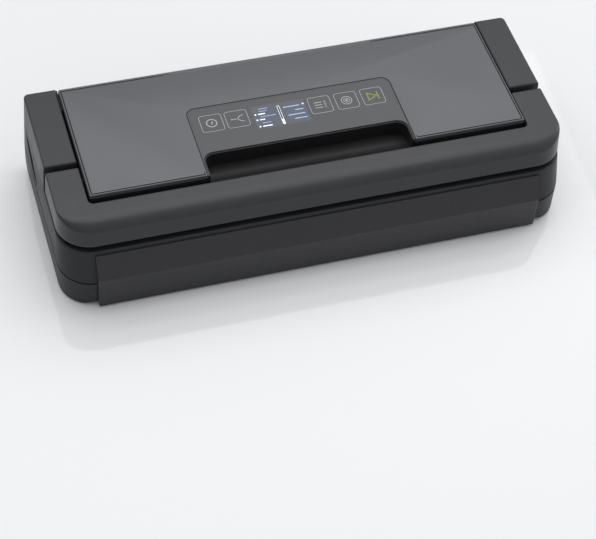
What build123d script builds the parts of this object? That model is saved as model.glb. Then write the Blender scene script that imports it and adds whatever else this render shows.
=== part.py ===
from build123d import *

import os

# Household vacuum packing machine, as an assembly of separate pieces.
# Frame: millimetres, X to the user's right, Y away from the user, Z up. The origin is on the
# table, at the middle of the machine's box. The lid and its locking handle are closed.

os.makedirs("parts", exist_ok=True)

# ---------------------------------------------------------------- driving dimensions
half_width = 200.0
rear = 79.0
ledge_front = -79.0
casing_front = -75.5
deck_front = -69.6
front_radius = 26.0
rear_radius = 4.0
smallest_radius = 0.6
side_lean = 2.4
wall = 2.5
foot_height = 1.5
lower_top = 23.4
upper_bottom = 25.6
deck_top = 52.3
cover_top = 77.0

lid_half = 171.0
lid_corner = 1.5
lid_front = -37.5
lid_rear = 77.3
lid_bottom = 57.0
plate_bottom = 75.2
lid_top = 78.7
flange_front = -60.0
flange_half = 166.0

arm_inside = 172.5
arm_rear = -4.7
bar_rear = -42.4
bar_bottom = 56.8
bar_top = 76.0
bar_front = -68.1
shoulder_front = -66.0
shoulder_start = -53.3
shoulder_low = 67.0
handle_radius = 26.0
handle_wall = 3.0

hinge_y, hinge_z = 68.0, 66.0
pivot_y, pivot_z = -14.0, 69.5
hinge_pin_radius = 3.0
pivot_pin_radius = 2.5
running_gap = 0.05

panel_half = 81.6
panel_rear = 32.3
recess_half = 81.0
recess_rear = -14.8
recess_floor = 65.0
display_left, display_right = -32.6, 10.4
display_front, display_rear = 0.0, 24.6
key_centres = (-65.2, -45.1, 21.4, 42.7, 63.9)
key_y = 14.4

chamber_half = 148.0
chamber_front, chamber_rear = -30.0, 24.0
chamber_floor = 36.0
seal_width = 7.0
heater_y = -50.0
heater_half = 158.0

hook_x = 186.0
hook_y = -43.0
switch_x, switch_y = 150.0, 51.0
motor_y, motor_z = 50.0, 27.0
screw_places = [(x, y) for x in (-178, 0, 178) for y in (-62, 62)]
gland_x, gland_z = -150.0, 38.0
lid_screw_places = [(-163, -28), (163, -28), (-163, 20), (163, 20), (-100, 48), (0, 48), (100, 48)]
foot_places = [(x, y) for x in (-165, 165) for y in (-55, 48)]


def save(piece, label):
    """Names a finished piece and writes its file."""
    piece.part.label = label
    export_step(piece.part, f"parts/{label}.step")


def box_between(low, high, mode=Mode.ADD):
    """A box given by its two opposite corners."""
    size = [b - a for a, b in zip(low, high)]
    middle = [(a + b) / 2 for a, b in zip(low, high)]
    with Locations(tuple(middle)):
        Box(*size, mode=mode)


def rod(start_x, end_x, y, z, radius, mode=Mode.ADD):
    """A cylinder along X."""
    with Locations(Plane((min(start_x, end_x), y, z), x_dir=(0, 1, 0), z_dir=(1, 0, 0))):
        Cylinder(radius, abs(end_x - start_x), align=(Align.CENTER, Align.CENTER, Align.MIN), mode=mode)


def post(x, y, low, high, radius, mode=Mode.ADD):
    """A cylinder along Z."""
    with Locations((x, y, low)):
        Cylinder(radius, high - low, align=(Align.CENTER, Align.CENTER, Align.MIN), mode=mode)


def lean_at(height):
    """How far the casing's sides have leaned in at a height."""
    return side_lean * (height - upper_bottom) / (cover_top - upper_bottom)


def plan_outline(height, front, inset, lean=0):
    """The casing's plan outline at a height: large front corners, small rear corners."""
    with BuildSketch(Plane.XY.offset(height)) as outline:
        with Locations((0, (front + rear) / 2)):
            Rectangle(2 * (half_width - lean - inset), rear - front - 2 * inset)
        fillet(outline.vertices().group_by(Axis.Y)[0], front_radius - inset)
        fillet(outline.vertices().group_by(Axis.Y)[-1], max(rear_radius - inset, smallest_radius))
    return outline.sketch


def round_rect(height, left, right, front, back, radius):
    """A rectangle with four equal corner radii, at a height."""
    with BuildSketch(Plane.XY.offset(height)) as outline:
        with Locations(((left + right) / 2, (front + back) / 2)):
            Rectangle(right - left, back - front)
        fillet(outline.vertices(), radius)
    return outline.sketch


# ---------------------------------------------------------------- base: casings and covers
edge_softness = 1.4
front_lean = (deck_front - casing_front) / (deck_top - upper_bottom)


def casing_section(height, inset):
    """The upper casing's plan at a height, its front and sides leaning in as it rises."""
    front = casing_front + front_lean * (height - upper_bottom)
    return plan_outline(height, front, inset, lean_at(height)).face()


def boat_profile(inset):
    """Side view of the lower casing, its rear bottom edge swept up in a large radius."""
    with BuildSketch(Plane.YZ.offset(-half_width)) as profile:
        low = foot_height + inset
        with BuildLine():
            Polyline(
                (casing_front + inset, low),
                (rear - inset, low),
                (rear - inset, lower_top + inset),
                (casing_front + inset, lower_top + inset),
                close=True,
            )
        make_face()
        fillet(profile.vertices().group_by(Axis.Y)[0].sort_by(Axis.X)[-1], 16 - inset)
        fillet(profile.vertices().group_by(Axis.Y)[0].sort_by(Axis.X)[0], 4 - inset)
    return profile.sketch


with BuildPart() as lower_hollow:
    extrude(plan_outline(foot_height, casing_front, wall), amount=lower_top)
    extrude(boat_profile(wall), amount=2 * half_width, mode=Mode.INTERSECT)

with BuildPart() as lower_casing:
    extrude(plan_outline(foot_height, casing_front, 0), amount=lower_top - foot_height)
    extrude(boat_profile(0), amount=2 * half_width, mode=Mode.INTERSECT)
    add(lower_hollow.part, mode=Mode.SUBTRACT)
    for x, y in screw_places:
        post(x, y, foot_height + 1, lower_top - 0.4, 4.5)
    for x, y in screw_places:
        post(x, y, foot_height - 1, lower_top + 1, 1.8, Mode.SUBTRACT)
        post(x, y, foot_height - 1, foot_height + 5, 3.6, Mode.SUBTRACT)
    for x, y in foot_places:
        post(x, y, foot_height - 1, foot_height + wall + 1, 3.0, Mode.SUBTRACT)
save(lower_casing, "lower_casing")


def grip_lens(x, grow):
    """The side grip recess seen from the side: a lens rising towards the rear."""
    with BuildSketch(Plane.YZ.offset(x)) as lens:
        with BuildLine():
            low_end = (24.0 - grow, 30.2 - grow)
            high_end = (68.0 + grow, 46.5 + grow)
            ThreePointArc(low_end, (50.0, 33.6 - grow), high_end)
            ThreePointArc(high_end, (43.0, 42.0 + grow), low_end)
        make_face()
    return lens.sketch


grip_depth = 13.0
spigot_low = lower_top - 3
shelf_top = upper_bottom + 1.5

with BuildPart() as upper_hollow:
    loft([casing_section(upper_bottom - 1, wall), casing_section(deck_top + 1, wall)])

with BuildPart() as above_shelf:
    loft([casing_section(shelf_top, wall), casing_section(deck_top + 1, wall)])

with BuildPart() as upper_casing:
    loft([casing_section(upper_bottom, 0), casing_section(deck_top, 0)])
    fillet(upper_casing.edges().group_by(Axis.Z)[-1], edge_softness)
    add(upper_hollow.part, mode=Mode.SUBTRACT)
    extrude(plan_outline(spigot_low, casing_front, wall + 0.3), amount=shelf_top - spigot_low)
    extrude(plan_outline(upper_bottom, casing_front, wall - 0.5), amount=shelf_top - upper_bottom)
    spigot_inside = plan_outline(spigot_low, casing_front, wall + 1.9)
    extrude(spigot_inside, amount=shelf_top - spigot_low, mode=Mode.SUBTRACT)
    add(above_shelf.part, mode=Mode.SUBTRACT)
    for side in (-1, 1):
        extrude(grip_lens(side * half_width, 0), amount=2 * wall, both=True, mode=Mode.SUBTRACT)
    with Locations(Plane((gland_x, rear, gland_z), z_dir=(0, 1, 0))):
        Cylinder(4.5, 4 * wall, mode=Mode.SUBTRACT)
save(upper_casing, "upper_casing")

with BuildPart() as deck:
    deck_outline = plan_outline(deck_top - wall, deck_front, wall + 0.1, lean_at(deck_top))
    extrude(deck_outline, amount=wall)
    well = round_rect(deck_top - wall - 1, -chamber_half, chamber_half, chamber_front, chamber_rear, 8)
    extrude(well, amount=wall + 2, mode=Mode.SUBTRACT)
    box_between(
        (-heater_half - 0.2, heater_y - 5.2, deck_top - wall - 1),
        (heater_half + 0.2, heater_y + 5.2, deck_top + 1),
        Mode.SUBTRACT,
    )
    for side in (-1, 1):
        with Locations((side * hook_x, hook_y - 1, deck_top)):
            Box(13, 25, 3 * wall, mode=Mode.SUBTRACT)
    post(switch_x, switch_y, deck_top - 5, deck_top + 1, 3.3, Mode.SUBTRACT)
save(deck, "chamber_deck")

with BuildPart() as screw_posts:
    for x, y in screw_places:
        post(x, y, lower_top - 0.2, deck_top - wall, 4.5)
        post(x, y, lower_top - 1, deck_top - 6, 1.5, Mode.SUBTRACT)
save(screw_posts, "casing_screw_posts")

with BuildPart() as grip_cups:
    for side in (-1, 1):
        skin = side * (half_width - wall - 1.12)
        extrude(grip_lens(skin, 1.8), amount=-side * (grip_depth - wall))
        extrude(grip_lens(skin + side, 0), amount=-side * (grip_depth - wall - 0.8), mode=Mode.SUBTRACT)
save(grip_cups, "side_grip_cups")

with BuildPart() as bag_ledge:
    with BuildSketch(Plane.YZ.offset(-174.9)):
        with BuildLine():
            Polyline(
                (ledge_front, foot_height + 0.2),
                (ledge_front, 29.6),
                (-71.3, 49.8),
                (-70.3, 49.8),
                (-75.55, upper_bottom),
                (-75.55, foot_height + 0.2),
                close=True,
            )
        make_face()
    extrude(amount=2 * 174.9)
    fillet(bag_ledge.edges().filter_by(Axis.Z).group_by(Axis.Y)[0], 1.2)
save(bag_ledge, "bag_ledge")


def cover_plan(side, height):
    """Plan of a rear cover at a height."""
    outer, inner = side * (half_width - lean_at(height)), side * arm_inside
    with BuildSketch(Plane.XY.offset(height)) as plan:
        with Locations(((outer + inner) / 2, rear / 2)):
            Rectangle(abs(outer - inner), rear)
    return plan.sketch.face()


def rear_cover(side):
    """One of the two fixed covers beside the lid's rear, which carry its hinge pins."""
    outer, inner = side * (half_width - side_lean), side * arm_inside
    with BuildPart() as cover:
        loft([cover_plan(side, deck_top), cover_plan(side, cover_top)])
        uprights = cover.edges().group_by(Axis.Z)[1]
        outer_rear = uprights.group_by(Axis.Y)[-1].sort_by(Axis.X)[-1 if side > 0 else 0]
        fillet(outer_rear, rear_radius)
        top = cover.edges().group_by(Axis.Z)[-1]
        fillet(top, 1.6)
        box_between(
            (min(outer, inner) + wall, wall, deck_top - 1),
            (max(outer, inner) - wall, rear - 4 * wall, cover_top - wall),
            Mode.SUBTRACT,
        )
        rod(inner, inner + side * 12, hinge_y, hinge_z, 6.0)
        rod(inner - side, inner + side * 20, hinge_y, hinge_z, hinge_pin_radius, Mode.SUBTRACT)
    return cover


left_cover = rear_cover(-1)
save(left_cover, "left_rear_cover")
right_cover = rear_cover(1)
save(right_cover, "right_rear_cover")

with BuildPart() as hinge_pins:
    for side in (-1, 1):
        rod(side * 163.5, side * (arm_inside + 14), hinge_y, hinge_z, hinge_pin_radius)
save(hinge_pins, "hinge_pins")

with BuildPart() as feet:
    for x, y in foot_places:
        post(x, y, 0, foot_height, 8.0)
        post(x, y, foot_height - 0.5, foot_height + wall, 2.95)
save(feet, "rubber_feet")

with BuildPart() as casing_screws:
    for x, y in screw_places:
        post(x, y, foot_height + 2.6, foot_height + 5, 3.2)
        post(x, y, foot_height + 4, lower_top - 0.4, 1.6)
        post(x, y, lower_top - 1, deck_top - 14, 1.5)
save(casing_screws, "casing_screws")

# ---------------------------------------------------------------- base: vacuum chamber and sealing bar
with BuildPart() as chamber:
    half, front, back = chamber_half - 0.3, chamber_front + 0.3, chamber_rear - 0.3
    extrude(round_rect(chamber_floor, -half, half, front, back, 7.7), amount=deck_top + 0.8 - chamber_floor)
    extrude(round_rect(deck_top, -half - 12, half + 12, front - 11, back + 11, 12), amount=0.8)
    tub = round_rect(chamber_floor + 2, -half + 2, half - 2, front + 2, back - 2, 5.7)
    extrude(tub, amount=deck_top - chamber_floor, mode=Mode.SUBTRACT)
    post(60, 6, chamber_floor - 6, chamber_floor + 1, 4.0)
    post(60, 6, chamber_floor - 7, chamber_floor + 3, 2.2, Mode.SUBTRACT)
save(chamber, "vacuum_chamber")

with BuildPart() as drip_tray:
    low, high = chamber_floor + 2.2, deck_top - 1.5
    half, front, back = chamber_half - 3, chamber_front + 3, chamber_rear - 3
    extrude(round_rect(low, -half, half, front, back, 5), amount=high - low)
    dish = round_rect(low + 1.6, -half + 1.6, half - 1.6, front + 1.6, back - 1.6, 3.4)
    extrude(dish, amount=high, mode=Mode.SUBTRACT)
    with Locations((60, 6, high)):
        Cylinder(4, 3 * high, mode=Mode.SUBTRACT)
    post(60, 6, low, high - 3, 5.6)
    post(60, 6, low - 1, high, 4.0, Mode.SUBTRACT)
save(drip_tray, "drip_tray")


def seal_ring(low, high, width):
    """A foam ring round the chamber, with its edges a little softened."""
    reach_x, reach_front, reach_rear = chamber_half + 10.5, chamber_front - 9.5, chamber_rear + 9.5
    extrude(round_rect(low, -reach_x, reach_x, reach_front, reach_rear, 11), amount=high - low)
    extrude(round_rect(
        low - 1, -reach_x + width, reach_x - width, reach_front + width, reach_rear - width, 11 - width
    ), amount=high - low + 2, mode=Mode.SUBTRACT)


with BuildPart() as lower_seal:
    seal_ring(deck_top + 0.8, 54.8, seal_width)
save(lower_seal, "lower_seal")

with BuildPart() as sealing_bar:
    box_between(
        (-heater_half, heater_y - 5, deck_top - 5), (heater_half, heater_y + 5, deck_top + 0.9)
    )
    fillet(sealing_bar.edges().filter_by(Axis.X).group_by(Axis.Z)[-1], 1.0)
save(sealing_bar, "sealing_bar")

with BuildPart() as heating_wire:
    box_between(
        (-heater_half + 6, heater_y - 1.3, deck_top + 0.9),
        (heater_half - 6, heater_y + 1.3, deck_top + 1.2),
    )
save(heating_wire, "heating_wire")

with BuildPart() as release_tape:
    box_between(
        (-heater_half + 3, heater_y - 4, deck_top + 1.2),
        (heater_half - 3, heater_y + 4, deck_top + 1.4),
    )
save(release_tape, "release_tape")

# ---------------------------------------------------------------- base: machinery inside
with BuildPart() as motor:
    rod(38, 78, motor_y, motor_z, 13.5)
    rod(34, 38, motor_y, motor_z, 5.0)
    rod(60, 79, motor_y, motor_z, 1.5 + running_gap, Mode.SUBTRACT)
save(motor, "pump_motor")

with BuildPart() as pump_housing:
    box_between((78.2, 35, 12.5), (106, 65, 41))
    box_between((80.2, 37, 14.5), (104, 63, 39), Mode.SUBTRACT)
    rod(77, 82, motor_y, motor_z, 1.5 + running_gap, Mode.SUBTRACT)
    fillet(pump_housing.edges().filter_by(Axis.X).group_by(Axis.Z)[-1], 1.5)
save(pump_housing, "pump_housing")

with BuildPart() as pump_head:
    for y in (motor_y - 7, motor_y + 7):
        post(92, y, 41, 46, 6.2)
    rod(106, 113, motor_y, motor_z + 6, 3.0)
save(pump_head, "pump_head")

with BuildPart() as pump_rotor:
    rod(61, 103, motor_y, motor_z, 1.5)
    rod(88, 96, motor_y + 2.2, motor_z, 6.0)
save(pump_rotor, "pump_crank")

with BuildPart() as pump_bracket:
    box_between((40, 32, foot_height + wall), (104, 62, foot_height + wall + 1.5))
    box_between((42, 34, foot_height + wall + 1.5), (52, 61, 20.0))
    rod(41, 53, motor_y, motor_z, 13.52, Mode.SUBTRACT)
    box_between((82, 38, foot_height + wall + 1.5), (102, 61, 12.5))
save(pump_bracket, "pump_bracket")

with BuildPart() as hose:
    with BuildLine() as route:
        FilletPolyline(
            (60, 6, chamber_floor - 6),
            (60, 6, 12),
            (130, 6, 12),
            (130, 50, 12),
            (130, 50, 33),
            (113, 50, 33),
            radius=8,
        )
    with BuildSketch(Plane((60, 6, chamber_floor - 6), z_dir=(0, 0, -1))):
        Circle(2.8)
    sweep()
save(hose, "air_hose")

with BuildPart() as valve:
    box_between((-50, 36, foot_height + wall), (-18, 60, 20))
    post(-34, 48, 20, 34, 8.0)
    fillet(valve.edges().group_by(Axis.Z)[-1], 1.0)
save(valve, "release_valve")

with BuildPart() as power_board:
    box_between((-168, 14, 7.6), (-70, 60, 9.2))
    for x in (-163, -76):
        for y in (19, 55):
            post(x, y, foot_height + wall, 7.6, 3.0)
    for x, y, height in ((-158, 24, 18), (-144, 24, 14), (-158, 50, 12), (-80, 38, 20)):
        post(x, y, 9.2, 9.2 + height, 5.5)
save(power_board, "power_board")

with BuildPart() as transformer:
    box_between((-134, 22, 9.2), (-98, 52, 34))
    fillet(transformer.edges().filter_by(Axis.Z), 2.0)
save(transformer, "transformer")

with BuildPart() as main_board:
    box_between((-60, -50, 7.6), (40, -8, 9.2))
    for x in (-54, 34):
        for y in (-44, -14):
            post(x, y, foot_height + wall, 7.6, 3.0)
    box_between((-40, -38, 9.2), (-26, -24, 11.2))
    box_between((0, -34, 9.2), (20, -26, 17.2))
save(main_board, "main_board")

with BuildPart() as lid_switch:
    box_between((switch_x - 10, switch_y - 5, 30), (switch_x + 10, switch_y + 5, 44))
    post(switch_x, switch_y, 34, 45, 2.0 + running_gap, Mode.SUBTRACT)
    for side in (-1, 1):
        box_between(
            (switch_x + side * 8.5 - 1.5, switch_y - 5, 44),
            (switch_x + side * 8.5 + 1.5, switch_y + 5, deck_top - wall),
        )
save(lid_switch, "lid_switch")

with BuildPart() as switch_plunger:
    post(switch_x, switch_y, 36, 48, 2.0)
    post(switch_x, switch_y, 48, lid_bottom - 0.25, 3.0)
    fillet(switch_plunger.edges().group_by(Axis.Z)[-1], 0.8)
save(switch_plunger, "switch_plunger")

with BuildPart() as cord_gland:
    with Locations(Plane((gland_x, rear - wall, gland_z), z_dir=(0, -1, 0))):
        Cylinder(6.5, 5, align=(Align.CENTER, Align.CENTER, Align.MIN))
    with Locations(Plane((gland_x, rear - wall, gland_z), z_dir=(0, 1, 0))):
        Cylinder(4.5, wall - 0.1, align=(Align.CENTER, Align.CENTER, Align.MIN))
    with Locations(Plane((gland_x, rear, gland_z), z_dir=(0, 1, 0))):
        Cylinder(3.0, 30, mode=Mode.SUBTRACT)
save(cord_gland, "cord_gland")

with BuildPart() as catches:
    for side in (-1, 1):
        box_between(
            (side * hook_x - 7, hook_y + 8.6, deck_top - wall - 12),
            (side * hook_x + 7, hook_y + 10.4, deck_top - wall),
        )
        box_between(
            (side * hook_x - 7, hook_y + 5.6, deck_top - wall - 8),
            (side * hook_x + 7, hook_y + 8.6, deck_top - wall - 5.5),
        )
save(catches, "latch_catches")

# ---------------------------------------------------------------- lid
with BuildPart() as lid_frame:
    walls = round_rect(lid_bottom, -lid_half, lid_half, lid_front, lid_rear, lid_corner)
    extrude(walls, amount=plate_bottom - lid_bottom)
    box_between(
        (-lid_half + wall, lid_front + wall, lid_bottom - 1),
        (lid_half - wall, lid_rear - wall, plate_bottom + 1),
        Mode.SUBTRACT,
    )
    box_between(
        (-flange_half - 0.3, lid_front - 1, lid_bottom - 1),
        (flange_half + 0.3, lid_front + wall + 1, lid_bottom + 2.8),
        Mode.SUBTRACT,
    )
    box_between(
        (-recess_half - 0.2, lid_front - 1, recess_floor - 2.4),
        (recess_half + 0.2, lid_front + wall + 1, plate_bottom + 1),
        Mode.SUBTRACT,
    )
    for side in (-1, 1):
        rod(side * 162, side * (lid_half - 1), hinge_y, hinge_z, 6.0)
        rod(side * 162, side * (lid_half - 1), pivot_y, pivot_z, 5.0)
        bore = hinge_pin_radius + running_gap
        rod(side * 161, side * (lid_half + 1), hinge_y, hinge_z, bore, Mode.SUBTRACT)
        rod(side * 161, side * (lid_half + 1), pivot_y, pivot_z, pivot_pin_radius, Mode.SUBTRACT)
save(lid_frame, "lid_frame")

with BuildPart() as inner_cover:
    box_between(
        (-lid_half + wall + 0.2, lid_front + wall + 0.2, lid_bottom),
        (lid_half - wall - 0.2, hinge_y - 8, lid_bottom + wall),
    )
    box_between(
        (-flange_half, flange_front, lid_bottom), (flange_half, lid_front + wall + 1, lid_bottom + wall)
    )
    box_between((-flange_half, flange_front, lid_bottom), (flange_half, flange_front + 2, lid_bottom + 6))
    fillet(inner_cover.edges().filter_by(Axis.Z).group_by(Axis.Y)[0], 0.9)
    for x, y in lid_screw_places:
        post(x, y, lid_bottom - 1, lid_bottom + wall + 1, 1.5, Mode.SUBTRACT)
        post(x, y, lid_bottom - 1, lid_bottom + 1.2, 2.8, Mode.SUBTRACT)
save(inner_cover, "lid_inner_cover")

with BuildPart() as upper_seal:
    seal_ring(54.95, lid_bottom, seal_width)
save(upper_seal, "upper_seal")

with BuildPart() as pressure_strip:
    box_between((-heater_half, heater_y - 4.5, 54.2), (heater_half, heater_y + 4.5, lid_bottom))
    fillet(pressure_strip.edges().filter_by(Axis.X).group_by(Axis.Z)[0], 1.5)
save(pressure_strip, "pressure_strip")

with BuildPart() as lid_plate:
    sheet = round_rect(plate_bottom, -lid_half + 0.2, lid_half - 0.2, lid_front, lid_rear, lid_corner)
    extrude(sheet, amount=lid_top - plate_bottom)
    extrude(round_rect(
        plate_bottom - 1, -panel_half - 0.3, panel_half + 0.3, lid_front - 20, panel_rear + 0.3, 7
    ), amount=lid_top, mode=Mode.SUBTRACT)
    fillet(lid_plate.edges().group_by(Axis.Z)[-1].filter_by(Axis.X).sort_by(Axis.Y)[-1], 3.0)
    rim = lid_plate.edges().group_by(Axis.Z)[-1]
    chamfer(rim.filter_by(Axis.X).sort_by(Axis.Y)[:2] + rim.filter_by(Axis.Y), 0.4)
save(lid_plate, "lid_plate")

with BuildPart() as lid_posts:
    for x, y in lid_screw_places:
        post(x, y, lid_bottom + wall, plate_bottom, 3.6)
        post(x, y, lid_bottom + wall - 1, lid_bottom + wall + 8, 1.5, Mode.SUBTRACT)
save(lid_posts, "lid_screw_posts")

window_middle = ((display_left + display_right) / 2, (display_front + display_rear) / 2)
window_size = (display_right - display_left, display_rear - display_front)
with BuildPart() as control_panel:
    insert = round_rect(plate_bottom, -panel_half, panel_half, lid_front - 20, panel_rear, 6.7)
    extrude(insert, amount=lid_top - 0.25 - plate_bottom)
    box_between((-100, lid_front - 30, plate_bottom - 1), (100, lid_front, lid_top + 1), Mode.SUBTRACT)
    notch = round_rect(plate_bottom - 1, -recess_half, recess_half, lid_front - 30, recess_rear, 9)
    extrude(notch, amount=lid_top, mode=Mode.SUBTRACT)
    with BuildSketch(Plane.XY.offset(lid_top - 1.25)):
        with Locations(window_middle):
            Rectangle(*window_size)
    extrude(amount=2, mode=Mode.SUBTRACT)
    with BuildSketch(Plane.XY.offset(plate_bottom - 1)):
        with Locations(window_middle):
            Rectangle(window_size[0] - 4, window_size[1] - 4)
    extrude(amount=10, mode=Mode.SUBTRACT)
save(control_panel, "control_panel")

with BuildPart() as window:
    with BuildSketch(Plane.XY.offset(lid_top - 1.25)):
        with Locations(window_middle):
            Rectangle(window_size[0] - 0.1, window_size[1] - 0.1)
    extrude(amount=0.95)
save(window, "display_window")

with BuildPart() as display_module:
    with BuildSketch(Plane.XY.offset(plate_bottom - 2.7)):
        with Locations(window_middle):
            Rectangle(window_size[0] + 4, window_size[1] + 4)
    extrude(amount=2.5)
save(display_module, "display_module")

board_top = plate_bottom - 2.8
with BuildPart() as control_board:
    box_between((-panel_half + 4, -10, board_top - 1.6), (panel_half - 4, panel_rear - 3, board_top))
    for x in (-panel_half + 8, panel_half - 8):
        post(x, panel_rear - 7, board_top, plate_bottom, 2.5)
save(control_board, "control_board")

with BuildPart() as key_sensors:
    for x in key_centres:
        with Locations((x, key_y, board_top)):
            Cylinder(6.0, 2.6, align=(Align.CENTER, Align.CENTER, Align.MIN))
            Cylinder(4.5, 2.6, align=(Align.CENTER, Align.CENTER, Align.MIN), mode=Mode.SUBTRACT)
save(key_sensors, "key_sensor_rings")

recess_wall = 1.2
with BuildPart() as finger_recess:
    half = recess_half - 0.15
    shell = round_rect(recess_floor - 2, -half, half, lid_front - 20, recess_rear - 0.15, 8.8)
    extrude(shell, amount=lid_top - 1.2 - recess_floor + 2)
    reach, back = half - recess_wall, recess_rear - 0.15 - recess_wall
    trough = round_rect(recess_floor, -reach, reach, lid_front - 30, back, 7.6)
    extrude(trough, amount=lid_top, mode=Mode.SUBTRACT)
    box_between((-100, lid_front - 40, 0), (100, lid_front + 0.2, 100), Mode.SUBTRACT)
save(finger_recess, "finger_recess")

with BuildPart() as handle_pins:
    for side in (-1, 1):
        rod(side * 164, side * (arm_inside + 12), pivot_y, pivot_z, pivot_pin_radius)
save(handle_pins, "handle_pivot_pins")

with BuildPart() as lid_screws:
    for x, y in lid_screw_places:
        post(x, y, lid_bottom + 0.1, lid_bottom + 1.2, 2.7)
        post(x, y, lid_bottom + 1.2, lid_bottom + wall + 7, 1.5)
save(lid_screws, "lid_screws")

# ---------------------------------------------------------------- locking handle
def handle_section(inset, low):
    """Side view of the handle: flat on top, a broad shoulder, then a front that leans back."""
    centre = (shoulder_start, shoulder_low)
    reach = shoulder_start - shoulder_front - inset
    rise = bar_top - shoulder_low - inset
    with BuildSketch(Plane.YZ.offset(-half_width)) as section:
        with BuildLine():
            front_top = (shoulder_front + inset, shoulder_low)
            Line((arm_rear - inset, low), (arm_rear - inset, bar_top - inset))
            Line((arm_rear - inset, bar_top - inset), (shoulder_start, bar_top - inset))
            EllipticalCenterArc(centre, reach, rise, start_angle=90, arc_size=90)
            Line(front_top, (bar_front + inset, low))
            Line((bar_front + inset, low), (arm_rear - inset, low))
        make_face()
    return section.sketch


def handle_plan(height, outer, inner_x, inner_y, corner):
    """Plan of the U: outer edge inset by outer, legs down to inner_x, crossbar back to inner_y."""
    with BuildSketch(Plane.XY.offset(height)) as plan:
        front = bar_front + outer
        with Locations((0, (front + arm_rear) / 2)):
            Rectangle(2 * (half_width - outer), arm_rear - front)
        fillet(plan.vertices().group_by(Axis.Y)[0], handle_radius - outer)
        add(round_rect(height, -inner_x, inner_x, inner_y, arm_rear + 40, corner), mode=Mode.SUBTRACT)
    return plan.sketch


def leaning_block(inset):
    """A tall block whose two sides lean in as the casing's do, moved in by inset."""
    low_half, high_half = half_width - inset, half_width - side_lean - inset
    with BuildPart() as block:
        with BuildSketch(Plane.XZ):
            with BuildLine():
                Polyline(
                    (-low_half, upper_bottom),
                    (-high_half, cover_top),
                    (high_half, cover_top),
                    (low_half, upper_bottom),
                    close=True,
                )
            make_face()
        extrude(amount=rear, both=True)
    return block.part


hollow_plan = handle_plan(
    bar_bottom - 1, handle_wall, arm_inside + handle_wall, bar_rear - handle_wall, 2
)
with BuildPart() as handle_hollow:
    extrude(hollow_plan, amount=bar_top)
    extrude(handle_section(handle_wall, bar_bottom - 1), amount=2 * half_width, mode=Mode.INTERSECT)
    add(leaning_block(handle_wall), mode=Mode.INTERSECT)

bar_lip_bottom = 66.0
with BuildPart() as handle:
    extrude(handle_plan(bar_bottom, 0, arm_inside, bar_rear, 4), amount=bar_top - bar_bottom)
    extrude(handle_section(0, bar_bottom), amount=2 * half_width, mode=Mode.INTERSECT)
    add(leaning_block(0), mode=Mode.INTERSECT)
    add(handle_hollow.part, mode=Mode.SUBTRACT)
    box_between(
        (-arm_inside + 0.5, bar_rear - handle_wall - 1, bar_bottom - 1),
        (arm_inside - 0.5, bar_rear + 1, bar_lip_bottom),
        Mode.SUBTRACT,
    )
    for side in (-1, 1):
        rod(side * arm_inside, side * (arm_inside + 13), pivot_y, pivot_z, 5.0)
        bore = pivot_pin_radius + running_gap
        rod(side * (arm_inside - 1), side * (arm_inside + 12.5), pivot_y, pivot_z, bore, Mode.SUBTRACT)
save(handle, "locking_handle")

with BuildPart() as hooks:
    for side in (-1, 1):
        box_between(
            (side * hook_x - 4, hook_y - 4, deck_top - wall - 8),
            (side * hook_x + 4, hook_y, bar_top - handle_wall),
        )
        box_between(
            (side * hook_x - 4, hook_y, deck_top - wall - 8),
            (side * hook_x + 4, hook_y + 5, deck_top - wall - 5.5),
        )
save(hooks, "latch_hooks")
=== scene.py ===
"""Looks of a household vacuum packing machine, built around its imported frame."""

import math

import bpy
import numpy as np
from mathutils import Matrix, Vector


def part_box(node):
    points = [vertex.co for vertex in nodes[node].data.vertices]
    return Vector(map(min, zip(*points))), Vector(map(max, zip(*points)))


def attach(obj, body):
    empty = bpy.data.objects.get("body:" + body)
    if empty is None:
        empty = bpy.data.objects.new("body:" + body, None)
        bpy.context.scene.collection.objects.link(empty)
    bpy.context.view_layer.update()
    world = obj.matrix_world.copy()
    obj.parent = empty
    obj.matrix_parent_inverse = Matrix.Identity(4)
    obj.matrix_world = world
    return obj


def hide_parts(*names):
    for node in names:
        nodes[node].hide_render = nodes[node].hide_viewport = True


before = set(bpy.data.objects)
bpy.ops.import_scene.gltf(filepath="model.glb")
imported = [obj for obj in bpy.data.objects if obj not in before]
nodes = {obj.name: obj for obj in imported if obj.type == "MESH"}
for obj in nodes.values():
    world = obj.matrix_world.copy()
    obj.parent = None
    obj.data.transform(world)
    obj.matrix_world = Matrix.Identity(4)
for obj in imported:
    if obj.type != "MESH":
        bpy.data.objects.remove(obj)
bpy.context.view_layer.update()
MM = 0.001
front_corner = 26.0
rear_corner = 4.0


# ------------------------------------------------------------------ colour and node helpers
def tone(red, green, blue):
    """Display colour from 0 to 255, as linear light."""
    def linear(value):
        value = value / 255
        return value / 12.92 if value <= 0.04045 else ((value + 0.055) / 1.055) ** 2.4

    return (linear(red), linear(green), linear(blue), 1.0)


def shade(colour, factor):
    """A colour made darker or lighter."""
    return tuple(min(1.0, channel * factor) for channel in colour[:3]) + (1.0,)


def fill(node, values):
    """Sets a node's own sockets by name."""
    for name, value in values.items():
        node.inputs[name].default_value = value


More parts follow.
